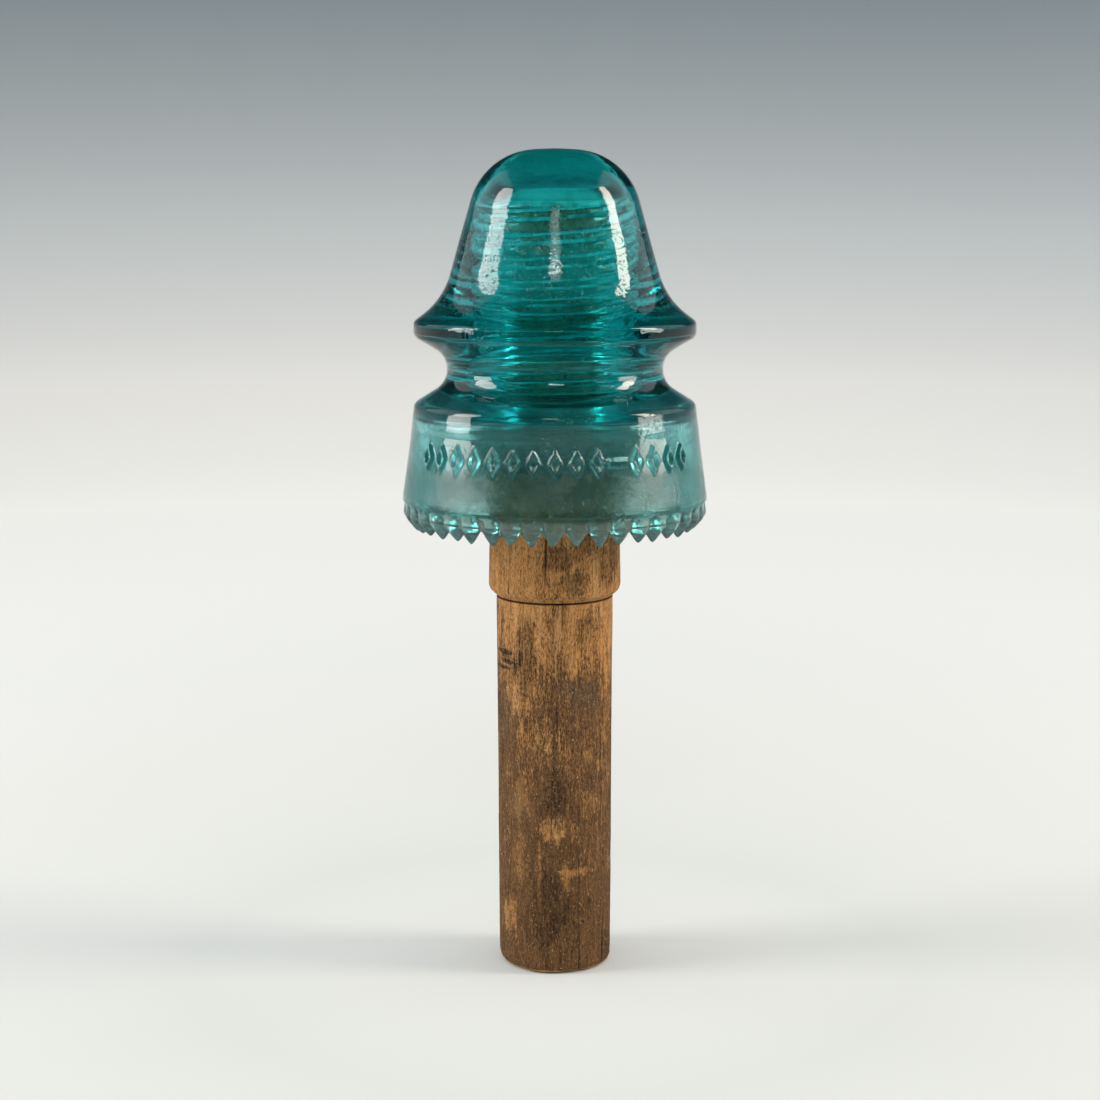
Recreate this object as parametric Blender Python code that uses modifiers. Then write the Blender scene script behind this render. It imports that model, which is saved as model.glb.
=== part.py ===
"""A pressed-glass pin insulator screwed onto its turned wooden pin.

Two separate pieces, as on the real thing. The wooden pin stands on its shank end, which is the
origin, and the glass is threaded onto its upper end. +Z runs up the thread's axis.
Run with: blender --background --python part.py
"""

import math

import bmesh
import bpy

MM = 0.001
INCH = 25.4 * MM

# ---- Driving dimensions, in metres -------------------------------------------------------------
# The pin. Heights are above the shank's end.
SHANK_RADIUS = 16.0 * MM
SHANK_LENGTH = 102.9 * MM
SHANK_END_ROUND = 1.8 * MM
SHANK_TAPER = 0.5 * MM
SCRIBE_DEPTH = 0.6 * MM
SCRIBE_HEIGHT = 0.7 * MM
COLLAR_RADIUS = 18.15 * MM
COLLAR_FOOT = 2.2 * MM
COLLAR_FOOT_ROUND = 3.0 * MM
COLLAR_TOP_RADIUS = 17.7 * MM
COLLAR_TOP = 129.4 * MM
COLLAR_TOP_ROUND = 4.0 * MM
PIN_NECK_TOP = 138.6 * MM
PIN_LENGTH = 208.9 * MM
PIN_TIP_CHAMFER = 1.2 * MM

# The thread, which the pin and the glass share: four turns to the inch, on a slow taper.
THREAD_PITCH = INCH / 4
THREAD_TAPER = 1 / 32
THREAD_TIP_RADIUS = 12.5 * MM
THREAD_ROD_RADIUS = 1.75 * MM
THREAD_ROD_SINK = 0.35 * MM
THREAD_RUNOUT = 2.3 * MM
THREAD_CLEARANCE = 0.35 * MM
THREAD_START = 141.5 * MM
THREAD_END = 205.5 * MM
TURN_POINTS = 18

# The glass. Its own heights are above the mould line low on its skirt, which is at MOULD_LINE.
MOULD_LINE = 129.4 * MM
GLASS_TOP = 93.3 * MM
CROWN_ROUND = 18.6 * MM
DOME_FOOT_RADIUS = 29.9 * MM
DOME_FOOT = 53.8 * MM
DOME_FOOT_ROUND = 20.0 * MM
DOME_SLOPE = 0.285
FLANGE_RADIUS = 37.9 * MM
FLANGE_UPPER_EDGE = 47.7 * MM
FLANGE_UPPER_ROUND = 1.6 * MM
FLANGE_LOWER_EDGE = 43.9 * MM
FLANGE_LOWER_ROUND = 2.0 * MM
GROOVE_RADIUS = 6.4 * MM
GROOVE_HEIGHT = 35.1 * MM
GROOVE_VEE_RADIUS = 23.25 * MM
SHOULDER_RADIUS = 37.9 * MM
SHOULDER_HEIGHT = 25.95 * MM
SHOULDER_ROUND = 2.4 * MM
SKIRT_WAIST_RADIUS = 40.0 * MM
SKIRT_WAIST = 9.0 * MM
SKIRT_RADIUS = 41.25 * MM
RIM_RADIUS = 41.1 * MM
BASE_HEIGHT = -4.0 * MM
BASE_ROUND = 1.2 * MM

# The hollow under the skirt, and the petticoat that hangs in it round the pin.
SKIRT_INSIDE_RADIUS = 34.7 * MM
SKIRT_INSIDE_FOOT = 1.5 * MM
SKIRT_INSIDE_TOP_RADIUS = 34.1 * MM
HOLLOW_TOP = 23.5 * MM
HOLLOW_RISE = 1.0 * MM
HOLLOW_ROUND = 3.0 * MM
PETTICOAT_ROOT_RADIUS = 24.8 * MM
PETTICOAT_ROOT_ROUND = 3.5 * MM
PETTICOAT_RADIUS = 23.2 * MM
PETTICOAT_END = 8.0 * MM
PETTICOAT_END_ROUND = 1.6 * MM
PETTICOAT_MOUTH_RADIUS = 19.4 * MM
PETTICOAT_MOUTH_ROUND = 1.2 * MM
BORE_ENTRY = 14.0 * MM
PINHOLE_TOP = 80.5 * MM
PINHOLE_ROUND = 3.0 * MM

# The drip points under the rim.
DRIP_COUNT = 42
DRIP_RING_RADIUS = 37.4 * MM
DRIP_RADIUS = 2.7 * MM
DRIP_TIP_RADIUS = 0.5 * MM
DRIP_DROP = 4.0 * MM
DRIP_SIDES = 6
DRIP_EMBED = 0.6 * MM

# How finely the turned shapes are cut, and how near two points are when they are merged.
GLASS_STEPS = 40
PIN_STEPS = 28
FILLET_STEP = math.radians(20)
MERGE = 0.00001

# ---- Helpers -----------------------------------------------------------------------------------


def clear_scene():
    for obj in list(bpy.data.objects):
        bpy.data.objects.remove(obj, do_unlink=True)


def new_collection(name):
    collection = bpy.data.collections.new(name)
    bpy.context.scene.collection.children.link(collection)
    return collection


def fillet(before, corner, after, radius):
    """The arc of that radius that rounds a corner between its two neighbours, as points."""
    (bx, bz), (cx, cz), (ax, az) = before, corner, after
    to_before = math.atan2(bz - cz, bx - cx)
    to_after = math.atan2(az - cz, ax - cx)
    opening = (to_after - to_before + math.pi) % math.tau - math.pi
    half = abs(opening) / 2
    middle = to_before + opening / 2
    reach = radius / math.sin(half)
    centre_x = cx + reach * math.cos(middle)
    centre_z = cz + reach * math.sin(middle)
    turn = math.pi - abs(opening)
    count = max(1, math.ceil(turn / FILLET_STEP))
    first = middle + math.pi + math.copysign(turn / 2, opening)
    sweep = -math.copysign(turn, opening)
    return [
        (
            centre_x + radius * math.cos(first + sweep * i / count),
            centre_z + radius * math.sin(first + sweep * i / count),
        )
        for i in range(count + 1)
    ]


def rounded_outline(corners):
    """The outline through (radius, height, fillet radius) corners, with each fillet as an arc."""
    points = []
    for i, (r, z, radius) in enumerate(corners):
        if radius == 0 or i in (0, len(corners) - 1):
            points.append((r, z))
        else:
            before = corners[i - 1][:2]
            after = corners[i + 1][:2]
            points += fillet(before, (r, z), after, radius)
    return points


def turned(name, outline, steps, collection):
    """A solid turned about Z from an outline that runs down its outer side, top to bottom."""
    mesh = bpy.data.meshes.new(name)
    vertices = [(r, 0.0, z) for r, z in outline]
    edges = [(i, i + 1) for i in range(len(outline) - 1)]
    mesh.from_pydata(vertices, edges, [])
    obj = bpy.data.objects.new(name, mesh)
    collection.objects.link(obj)
    screw = obj.modifiers.new("Turn", "SCREW")
    screw.axis = "Z"
    screw.angle = math.tau
    screw.steps = steps
    screw.render_steps = steps
    screw.use_merge_vertices = True
    screw.merge_threshold = MERGE
    screw.use_smooth_shade = True
    return obj


def as_cutter(obj):
    obj.hide_render = True
    obj.display_type = "WIRE"
    return obj


def boolean(obj, other, operation):
    """Joins or cuts obj with the helper other, which stays out of renders."""
    modifier = obj.modifiers.new(operation.title(), "BOOLEAN")
    modifier.operation = operation
    modifier.solver = "EXACT"
    modifier.object = as_cutter(other)


def core_radius(height):
    """The pin's thread root at a height above the shank's end."""
    return THREAD_TIP_RADIUS + (PIN_LENGTH - height) * THREAD_TAPER


def thread_rod(name, clearance, start, end, collection):
    """A round rod wound on the thread's helix: a ridge to join to the pin, or a cutter."""
    curve = bpy.data.curves.new(name, "CURVE")
    curve.dimensions = "3D"
    curve.bevel_depth = THREAD_ROD_RADIUS + clearance
    curve.bevel_resolution = 1
    curve.use_fill_caps = True
    spline = curve.splines.new("POLY")
    count = round((end - start) / THREAD_PITCH * TURN_POINTS)
    spline.points.add(count)
    for i, point in enumerate(spline.points):
        height = start + THREAD_PITCH * i / TURN_POINTS
        angle = math.tau * height / THREAD_PITCH
        from_end = min(i, count - i) / (TURN_POINTS / 4)
        runout = THREAD_RUNOUT * max(0.0, 1.0 - from_end)
        radius = core_radius(height) - THREAD_ROD_SINK - runout
        point.co = (radius * math.cos(angle), radius * math.sin(angle), height, 1.0)
    guide = bpy.data.objects.new(name, curve)
    collection.objects.link(guide)
    graph = bpy.context.evaluated_depsgraph_get()
    mesh = bpy.data.meshes.new_from_object(guide.evaluated_get(graph))
    work = bmesh.new()
    work.from_mesh(mesh)
    bmesh.ops.remove_doubles(work, verts=work.verts, dist=MERGE)
    bmesh.ops.recalc_face_normals(work, faces=work.faces)
    work.to_mesh(mesh)
    work.free()
    rod = bpy.data.objects.new(name, mesh)
    rod.matrix_world = guide.matrix_world
    bpy.data.objects.remove(guide, do_unlink=True)
    collection.objects.link(rod)
    return rod


def principled(name, colour, roughness, transmission=0.0, ior=1.5):
    material = bpy.data.materials.new(name)
    material.use_nodes = True
    shader = material.node_tree.nodes["Principled BSDF"]
    shader.inputs["Base Color"].default_value = (*colour, 1.0)
    shader.inputs["Roughness"].default_value = roughness
    shader.inputs["Transmission Weight"].default_value = transmission
    shader.inputs["IOR"].default_value = ior
    return material


def teal_glass():
    return principled("teal_glass", (0.02, 0.30, 0.30), 0.06, transmission=1.0, ior=1.52)


def weathered_wood():
    return principled("weathered_wood", (0.24, 0.12, 0.05), 0.75)


# ---- The pin -----------------------------------------------------------------------------------


def pin_outline():
    """Down the pin's outer side: thread core, neck, collar, scribed line, shank."""
    neck_foot = core_radius(PIN_NECK_TOP)
    scribe_top = SHANK_LENGTH + SCRIBE_HEIGHT / 2
    scribe_foot = SHANK_LENGTH - SCRIBE_HEIGHT / 2
    shank_end_radius = SHANK_RADIUS - SHANK_TAPER
    return rounded_outline(
        [
            (0, PIN_LENGTH, 0),
            (core_radius(PIN_LENGTH) - PIN_TIP_CHAMFER, PIN_LENGTH, 0),
            (core_radius(PIN_LENGTH - PIN_TIP_CHAMFER), PIN_LENGTH - PIN_TIP_CHAMFER, 0),
            (neck_foot, PIN_NECK_TOP, 0),
            (COLLAR_TOP_RADIUS, COLLAR_TOP, COLLAR_TOP_ROUND),
            (COLLAR_RADIUS, SHANK_LENGTH + COLLAR_FOOT, COLLAR_FOOT_ROUND),
            (SHANK_RADIUS, scribe_top, 0),
            (SHANK_RADIUS - SCRIBE_DEPTH, SHANK_LENGTH, 0),
            (SHANK_RADIUS, scribe_foot, 0),
            (shank_end_radius, 0, SHANK_END_ROUND),
            (0, 0, 0),
        ]
    )


def wooden_pin(parts, cutters):
    pin = turned("wooden_pin", pin_outline(), PIN_STEPS, parts)
    ridge = thread_rod("pin_thread_ridge", 0.0, THREAD_START, THREAD_END, cutters)
    boolean(pin, ridge, "UNION")
    pin.data.materials.append(weathered_wood())
    return pin


# ---- The glass ---------------------------------------------------------------------------------


def bore_radius(glass_height):
    """The glass thread's inner radius at a height above the mould line."""
    return core_radius(MOULD_LINE + glass_height) + THREAD_CLEARANCE


def glass_outline():
    """Down the outer side, in under the rim, up round the petticoat and up the pinhole."""
    crown_edge = DOME_FOOT_RADIUS - DOME_SLOPE * (GLASS_TOP - DOME_FOOT)
    skirt_wall_foot = BASE_HEIGHT + SKIRT_INSIDE_FOOT
    return rounded_outline(
        [
            (0, GLASS_TOP, 0),
            (crown_edge, GLASS_TOP, CROWN_ROUND),
            (DOME_FOOT_RADIUS, DOME_FOOT, DOME_FOOT_ROUND),
            (FLANGE_RADIUS, FLANGE_UPPER_EDGE, FLANGE_UPPER_ROUND),
            (FLANGE_RADIUS, FLANGE_LOWER_EDGE, FLANGE_LOWER_ROUND),
            (GROOVE_VEE_RADIUS, GROOVE_HEIGHT, GROOVE_RADIUS),
            (SHOULDER_RADIUS, SHOULDER_HEIGHT, SHOULDER_ROUND),
            (SKIRT_WAIST_RADIUS, SKIRT_WAIST, 0),
            (SKIRT_RADIUS, 0, 0),
            (RIM_RADIUS, BASE_HEIGHT, BASE_ROUND),
            (SKIRT_INSIDE_RADIUS, BASE_HEIGHT, 0),
            (SKIRT_INSIDE_RADIUS, skirt_wall_foot, 0),
            (SKIRT_INSIDE_TOP_RADIUS, HOLLOW_TOP, HOLLOW_ROUND),
            (PETTICOAT_ROOT_RADIUS, HOLLOW_TOP + HOLLOW_RISE, PETTICOAT_ROOT_ROUND),
            (PETTICOAT_RADIUS, PETTICOAT_END, PETTICOAT_END_ROUND),
            (PETTICOAT_MOUTH_RADIUS, PETTICOAT_END, PETTICOAT_MOUTH_ROUND),
            (bore_radius(BORE_ENTRY), BORE_ENTRY, 0),
            (bore_radius(PINHOLE_TOP), PINHOLE_TOP, PINHOLE_ROUND),
            (0, PINHOLE_TOP, 0),
        ]
    )


def drip_points(cutters):
    """The ring of separate downward cones, with their roots sunk in the rim."""
    cones = bmesh.new()
    depth = DRIP_DROP + DRIP_EMBED
    for i in range(DRIP_COUNT):
        made = bmesh.ops.create_cone(
            cones,
            cap_ends=True,
            segments=DRIP_SIDES,
            radius1=DRIP_TIP_RADIUS,
            radius2=DRIP_RADIUS,
            depth=depth,
        )
        angle = math.tau * (i + 0.5) / DRIP_COUNT
        place = (
            DRIP_RING_RADIUS * math.cos(angle),
            DRIP_RING_RADIUS * math.sin(angle),
            BASE_HEIGHT + DRIP_EMBED - depth / 2,
        )
        bmesh.ops.translate(cones, verts=made["verts"], vec=place)
    mesh = bpy.data.meshes.new("drip_points")
    cones.to_mesh(mesh)
    cones.free()
    obj = bpy.data.objects.new("drip_points", mesh)
    cutters.objects.link(obj)
    return obj


def glass_insulator(parts, cutters):
    glass = turned("glass_insulator", glass_outline(), GLASS_STEPS, parts)
    glass.location.z = MOULD_LINE
    points = drip_points(cutters)
    points.location.z = MOULD_LINE
    boolean(glass, points, "UNION")
    start = THREAD_START - THREAD_PITCH
    end = THREAD_END + THREAD_PITCH / 4
    groove = thread_rod("glass_thread_groove", THREAD_CLEARANCE, start, end, cutters)
    boolean(glass, groove, "DIFFERENCE")
    glass.data.materials.append(teal_glass())
    return glass


def main():
    clear_scene()
    parts = new_collection("pin_insulator")
    cutters = new_collection("cutters")
    wooden_pin(parts, cutters)
    glass_insulator(parts, cutters)


main()
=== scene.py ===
"""Looks of the pin insulator: pressed teal glass screwed onto a weathered wooden pin.

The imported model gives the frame. Both of its nodes are replaced by finer meshes on the same
outlines, with rounder drip points and thread, a raised ornament, grain, wear and procedural
materials.
"""

import math

import bmesh
import bpy
import numpy as np
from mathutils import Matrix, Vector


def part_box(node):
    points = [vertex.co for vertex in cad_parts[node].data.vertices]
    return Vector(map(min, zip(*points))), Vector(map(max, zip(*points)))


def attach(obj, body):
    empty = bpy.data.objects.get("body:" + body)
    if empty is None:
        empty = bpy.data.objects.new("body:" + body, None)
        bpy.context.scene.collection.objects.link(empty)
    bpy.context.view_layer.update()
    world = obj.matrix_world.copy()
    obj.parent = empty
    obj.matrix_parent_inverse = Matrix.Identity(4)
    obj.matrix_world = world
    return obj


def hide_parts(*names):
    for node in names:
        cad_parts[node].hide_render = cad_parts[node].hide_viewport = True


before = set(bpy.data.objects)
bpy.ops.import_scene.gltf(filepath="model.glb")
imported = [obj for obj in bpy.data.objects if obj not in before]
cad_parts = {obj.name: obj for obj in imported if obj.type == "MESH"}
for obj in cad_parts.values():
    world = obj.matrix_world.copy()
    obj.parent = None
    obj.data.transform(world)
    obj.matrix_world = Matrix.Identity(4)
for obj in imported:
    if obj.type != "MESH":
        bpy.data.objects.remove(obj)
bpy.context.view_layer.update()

MM = 0.001
INCH = 25.4 * MM
TAU = math.tau

# ---- Sizes, in metres ----------------------------------------------------------------------------
# The outer sizes are those of the frame's two nodes.
_, pin_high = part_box("wooden_pin")
glass_low, glass_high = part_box("glass_insulator")
PIN_LENGTH = pin_high.z
DRIP_TIP = -8.0 * MM
MOULD_LINE = glass_low.z - DRIP_TIP
GLASS_TOP = glass_high.z - MOULD_LINE
SKIRT_RADIUS = glass_high.x

# The thread that the two pieces share: four turns to the inch, on a slow taper.
THREAD_PITCH = INCH / 4
THREAD_TAPER = 1 / 32
THREAD_TIP_RADIUS = 12.5 * MM
THREAD_ROD_RADIUS = 1.75 * MM
THREAD_ROD_SINK = 0.35 * MM
THREAD_CLEARANCE = 0.35 * MM
THREAD_CREST = 0.45 * MM
THREAD_SOFTNESS = 0.18 * MM
THREAD_START = 141.5 * MM
THREAD_START_FADE = (THREAD_START - 1 * MM, THREAD_START + 2 * MM)
THREAD_END = PIN_LENGTH - 3.4 * MM
THREAD_END_FADE = (THREAD_END + 1 * MM, THREAD_END - 2 * MM)

# The pin, with heights above the shank's end.
SHANK_RADIUS = 16.0 * MM
SHANK_TAPER = 0.5 * MM
SHANK_LENGTH = 102.9 * MM
SHANK_END_ROUND = 1.8 * MM
SCRIBE_DEPTH = 0.7 * MM
SCRIBE_HALF_HEIGHT = 0.3 * MM
SCRIBE_ROUNDS = (0.15 * MM, 0.08 * MM, 0.1 * MM)
COLLAR_RADIUS = pin_high.x
COLLAR_FOOT = 2.2 * MM
COLLAR_FOOT_ROUND = 3.0 * MM
COLLAR_TOP_RADIUS = COLLAR_RADIUS - 0.45 * MM
COLLAR_TOP = 129.4 * MM
COLLAR_TOP_ROUND = 4.0 * MM
PIN_NECK_TOP = 138.6 * MM
PIN_NECK_ROUND = 3.0 * MM
PIN_TIP_CHAMFER = 1.2 * MM
PIN_TIP_ROUND = 0.3 * MM

# The pin's knot, low on its left side.
KNOT_ANGLE = math.radians(195)
KNOT_HEIGHT = 86 * MM

# The glass, with heights above its mould line.
CROWN_DROP = 0.9 * MM
CROWN_ROUND = 18.6 * MM
DOME_SLOPE = 0.285
DOME_FOOT_RADIUS = 29.9 * MM
DOME_FOOT = 53.8 * MM
DOME_FOOT_ROUND = 20.0 * MM
FLANGE_RADIUS = 37.9 * MM
FLANGE_UPPER_EDGE = 47.7 * MM
FLANGE_UPPER_ROUND = 1.6 * MM
FLANGE_LOWER_EDGE = 43.9 * MM
FLANGE_LOWER_ROUND = 2.0 * MM
GROOVE_RADIUS = 6.4 * MM
GROOVE_HEIGHT = 35.1 * MM
GROOVE_VEE_RADIUS = 23.25 * MM
SHOULDER_RADIUS = 37.9 * MM
SHOULDER_HEIGHT = 25.95 * MM
SHOULDER_ROUND = 2.4 * MM
SKIRT_WAIST_RADIUS = 40.0 * MM
SKIRT_WAIST = 9.0 * MM
SKIRT_WAIST_ROUND = 25.0 * MM
SKIRT_FOOT = 0.25 * MM
RIM_RADIUS = SKIRT_RADIUS - 0.65 * MM
RIM_TOP = -0.1 * MM
BASE_RADIUS = 41.0 * MM
BASE_HEIGHT = -4.0 * MM
BASE_ROUND = 0.8 * MM
BASE_INNER_ROUND = 0.5 * MM

# The skirt's finer rings start a little under the last of the coarse ones.
COARSE_END = (38.68 * MM, 19.7 * MM)
SKIRT_START = (38.7 * MM, 19.5 * MM)

# The hollow under the skirt, the petticoat in it, and the threaded pinhole.
SKIRT_INSIDE_RADIUS = 34.7 * MM
SKIRT_INSIDE_FOOT = 1.5 * MM
HOLLOW_START = (34.68 * MM, BASE_HEIGHT + 1.9 * MM)
HOLLOW_TOP_RADIUS = 34.1 * MM
HOLLOW_TOP = 23.5 * MM
HOLLOW_RISE = 1.0 * MM
HOLLOW_ROUND = 3.0 * MM
PETTICOAT_ROOT_RADIUS = 24.8 * MM
PETTICOAT_ROOT_ROUND = 3.5 * MM
PETTICOAT_RADIUS = 23.2 * MM
PETTICOAT_END = 8.0 * MM
PETTICOAT_END_ROUND = 1.6 * MM
PETTICOAT_MOUTH_RADIUS = 19.4 * MM
PETTICOAT_MOUTH_ROUND = 1.2 * MM
BORE_ENTRY = 14.0 * MM
BORE_START = BORE_ENTRY + 0.4 * MM
BORE_MOUTH_REACH = 5.0 * MM
PINHOLE_TOP = 80.5 * MM
PINHOLE_ROUND = 3.0 * MM
PINHOLE_THREAD_FADE = (
    MOULD_LINE + PINHOLE_TOP - 1 * MM,
    MOULD_LINE + PINHOLE_TOP - 4 * MM,
)

# The drip points under the rim, and the valleys between them in the rim's outside.
DRIP_COUNT = 42
DRIP_RING_RADIUS = 37.4 * MM
DRIP_RADIUS = 2.75 * MM
DRIP_TIP_ROUND = 0.55 * MM
DRIP_LEAN = 1.3
DRIP_REACH = (0.86, 1.0)
DRIP_SHIFT = 0.1
DRIP_SEED = 11
DRIP_ZONE_TOP = BASE_HEIGHT + 0.6 * MM
VALLEY_DEPTH = 2.2 * MM
VALLEY_FADE = (-0.2 * MM, -2.6 * MM)
VALLEY_REACH = (38.5 * MM, 40.0 * MM)

# The raised ornament on the skirt: outlined lozenges, and a bar in the place of one of them.
ORNAMENT_HEIGHT = 13.8 * MM
ORNAMENT_RELIEF = 0.95 * MM
ORNAMENT_PLACES = range(-7, 8)
ORNAMENT_STEP = math.radians(8)
BAR_PLACE = 3
BAR_HALF_LENGTH = 3.6 * MM
BAR_HALF_HEIGHT = 1.1 * MM
BAR_CORE = 1.2
BAR_STEEPNESS = 3
LOZENGE_HALF_WIDTH = 2.3 * MM
LOZENGE_HALF_HEIGHT = 3.8 * MM
LOZENGE_LINE = 0.72
LOZENGE_LINE_WIDTH = 0.34
LOZENGE_STEEPNESS = 2.0

# The unevenness of each surface: amplitude in metres, cells round the axis, cell height, seed.
GLASS_SWELL = (0.09 * MM, 9, 21 * MM, 3)
GLASS_RIPPLE = (0.03 * MM, 31, 8 * MM, 4)
GLASS_INSET = 0.1 * MM
GLASS_CALM_CROWN = 6 * MM
BORE_WOBBLE = (0.05 * MM, 14, 3.2 * MM, 5)
WOOD_PORES = (0.05 * MM, 190, 5 * MM, 21)
WOOD_FURROWS = (0.10 * MM, 64, 21 * MM, 22)
WOOD_SWELL = (0.12 * MM, 5, 40 * MM, 23)
WOOD_INSET = 0.05 * MM
FOOT_CHIPS = (1.5 * MM, 23, 6 * MM, 24)
FOOT_CHIP_FADE = (3.5 * MM, 0.3 * MM)
WOOD_CALM_ENDS = 8 * MM

# Dents at the knot: depth, angle, height, half angle, half height.
KNOT_DENTS = [
    (0.7 * MM, KNOT_ANGLE, KNOT_HEIGHT, 0.16, 1.6 * MM),
    (0.5 * MM, KNOT_ANGLE + 0.3, KNOT_HEIGHT - 3 * MM, 0.05, 4.0 * MM),
]

# How finely the meshes are cut.
FILLET_STEP = math.radians(6)
GLASS_SEGMENTS = 3 * DRIP_COUNT
BASE_SEGMENTS = 6 * GLASS_SEGMENTS
PIN_SEGMENTS = 180
COARSE_STEP = 1.4 * MM
SKIRT_STEP = 0.5 * MM
BASE_STEP = 0.45 * MM
BORE_STEP = 0.5 * MM
PIN_STEP = 0.6 * MM

# The lattice of random values reaches from a little under the floor to past the object's top.
LATTICE_HEIGHT = 0.3
LATTICE_FOOT = 0.02
LATTICE_SPARE_ROWS = 4


# ---- Outlines ------------------------------------------------------------------------------------


def fillet(before, corner, after, radius):
    """The arc of that radius that rounds a corner between its two neighbours, as points."""
    (bx, bz), (cx, cz), (ax, az) = before, corner, after
    to_before = math.atan2(bz - cz, bx - cx)
    to_after = math.atan2(az - cz, ax - cx)
    opening = (to_after - to_before + math.pi) % TAU - math.pi
    middle = to_before + opening / 2
    reach = radius / math.sin(abs(opening) / 2)
    turn = math.copysign(math.pi - abs(opening), opening)
    first = middle + math.pi + turn / 2
    count = max(1, math.ceil(abs(turn) / FILLET_STEP))
    headings = [first - turn * i / count for i in range(count + 1)]
    centre = (cx + reach * math.cos(middle), cz + reach * math.sin(middle))
    return [
        (centre[0] + radius * math.cos(a), centre[1] + radius * math.sin(a)) for a in headings
    ]


def rounded_outline(corners):
    """The outline through (radius, height, fillet radius) corners, with each fillet as an arc."""
    points = []
    for i, (r, z, radius) in enumerate(corners):
        if radius == 0 or i in (0, len(corners) - 1):
            points.append((r, z))
        else:
            points += fillet(corners[i - 1][:2], (r, z), corners[i + 1][:2], radius)
    return points


def subdivided(points, spacing):
    """The same outline with its long straight runs cut up to the spacing."""
    result = [points[0]]
    for (r0, z0), (r1, z1) in zip(points, points[1:]):
        count = max(1, math.ceil(math.hypot(r1 - r0, z1 - z0) / spacing))
        result += [
            (r0 + (r1 - r0) * i / count, z0 + (z1 - z0) * i / count)
            for i in range(1, count + 1)
        ]
    return result


# ---- Meshes --------------------------------------------------------------------------------------


def smoothstep(share):
    return share * share * (3 - 2 * share)


def fade(value, start, end):
    """0 before start, 1 past end, smooth between. start may be above end."""
    return smoothstep(np.clip((value - start) / (end - start), 0, 1))


def unevenness(theta, z, cells, cell_height, seed):
    """Smooth random values from -1 to 1 on a lattice that closes round the axis."""
    rows = LATTICE_SPARE_ROWS + int(LATTICE_HEIGHT / cell_height)
    table = np.random.default_rng(seed).uniform(-1, 1, (rows, cells))
    across = theta / TAU * cells
    up = (z + LATTICE_FOOT) / cell_height
    i, j = np.floor(across).astype(int), int(np.floor(up))
    fi, fj = smoothstep(across - i), smoothstep(up - j)
    i0, i1 = i % cells, (i + 1) % cells
    j0, j1 = min(j, rows - 1), min(j + 1, rows - 1)
    low = table[j0, i0] * (1 - fi) + table[j0, i1] * fi
    high = table[j1, i0] * (1 - fi) + table[j1, i1] * fi
    return low * (1 - fj) + high * fj


def angles(segments):
    """The angles of a ring's points. A ring of one point lies on the axis."""
    return np.arange(segments) * TAU / segments


def ring(r, z, theta):
    """One ring of points about the axis. r and z are numbers, or have one value an angle."""
    r, z = np.broadcast_to(r, theta.shape), np.broadcast_to(z, theta.shape)
    return np.stack([r * np.cos(theta), r * np.sin(theta), z], 1)


def skin(name, rings, material):
    """A closed surface through rings that run from one point on the axis to another.

    Neighbouring rings have equal counts, or one has a whole multiple of the other's.
    """
    starts = np.cumsum([0] + [len(r) for r in rings])
    faces = []
    for (a, b), first, second in zip(zip(rings, rings[1:]), starts, starts[1:]):
        na, nb = len(a), len(b)
        for i in range(max(na, nb)):
            if na == nb:
                k = (i + 1) % na
                faces.append((first + i, second + i, second + k, first + k))
            elif na < nb:
                k, share = (i + 1) % nb, nb // na
                faces.append((first + i // share % na, second + i, second + k))
                if na > 1 and (i + 1) % share == 0:
                    after = first + (i // share + 1) % na
                    faces.append((first + i // share, second + k, after))
            else:
                k, share = (i + 1) % na, na // nb
                faces.append((first + i, second + i // share % nb, first + k))
                if nb > 1 and (i + 1) % share == 0:
                    after = second + (i // share + 1) % nb
                    faces.append((first + k, second + i // share, after))
    mesh = bpy.data.meshes.new(name)
    mesh.from_pydata(np.concatenate(rings).tolist(), [], faces)
    mesh.shade_smooth()
    mesh.materials.append(material)
    obj = bpy.data.objects.new(name, mesh)
    bpy.context.scene.collection.objects.link(obj)
    return obj


# ---- The thread ----------------------------------------------------------------------------------


def core_radius(height):
    """The pin's thread root at a height above the shank's end."""
    return THREAD_TIP_RADIUS + (PIN_LENGTH - height) * THREAD_TAPER


def bore_radius(glass_height):
    """The glass thread's inner radius at a height above the mould line."""
    return core_radius(MOULD_LINE + glass_height) + THREAD_CLEARANCE


def thread_rise(theta, height, clearance=0.0):
    """How far the helical ridge, or with a clearance its groove, stands out of its core."""
    turns = height / THREAD_PITCH - theta / TAU
    along = np.abs(turns - np.round(turns)) * THREAD_PITCH
    along = np.maximum(along - THREAD_CREST, 0)
    radius, sink = THREAD_ROD_RADIUS + clearance, THREAD_ROD_SINK + clearance
    rod = np.sqrt(np.maximum(radius**2 - along**2, 0)) - sink
    return (rod + np.sqrt(rod * rod + THREAD_SOFTNESS * THREAD_SOFTNESS)) / 2


# ---- The glass -----------------------------------------------------------------------------------


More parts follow.
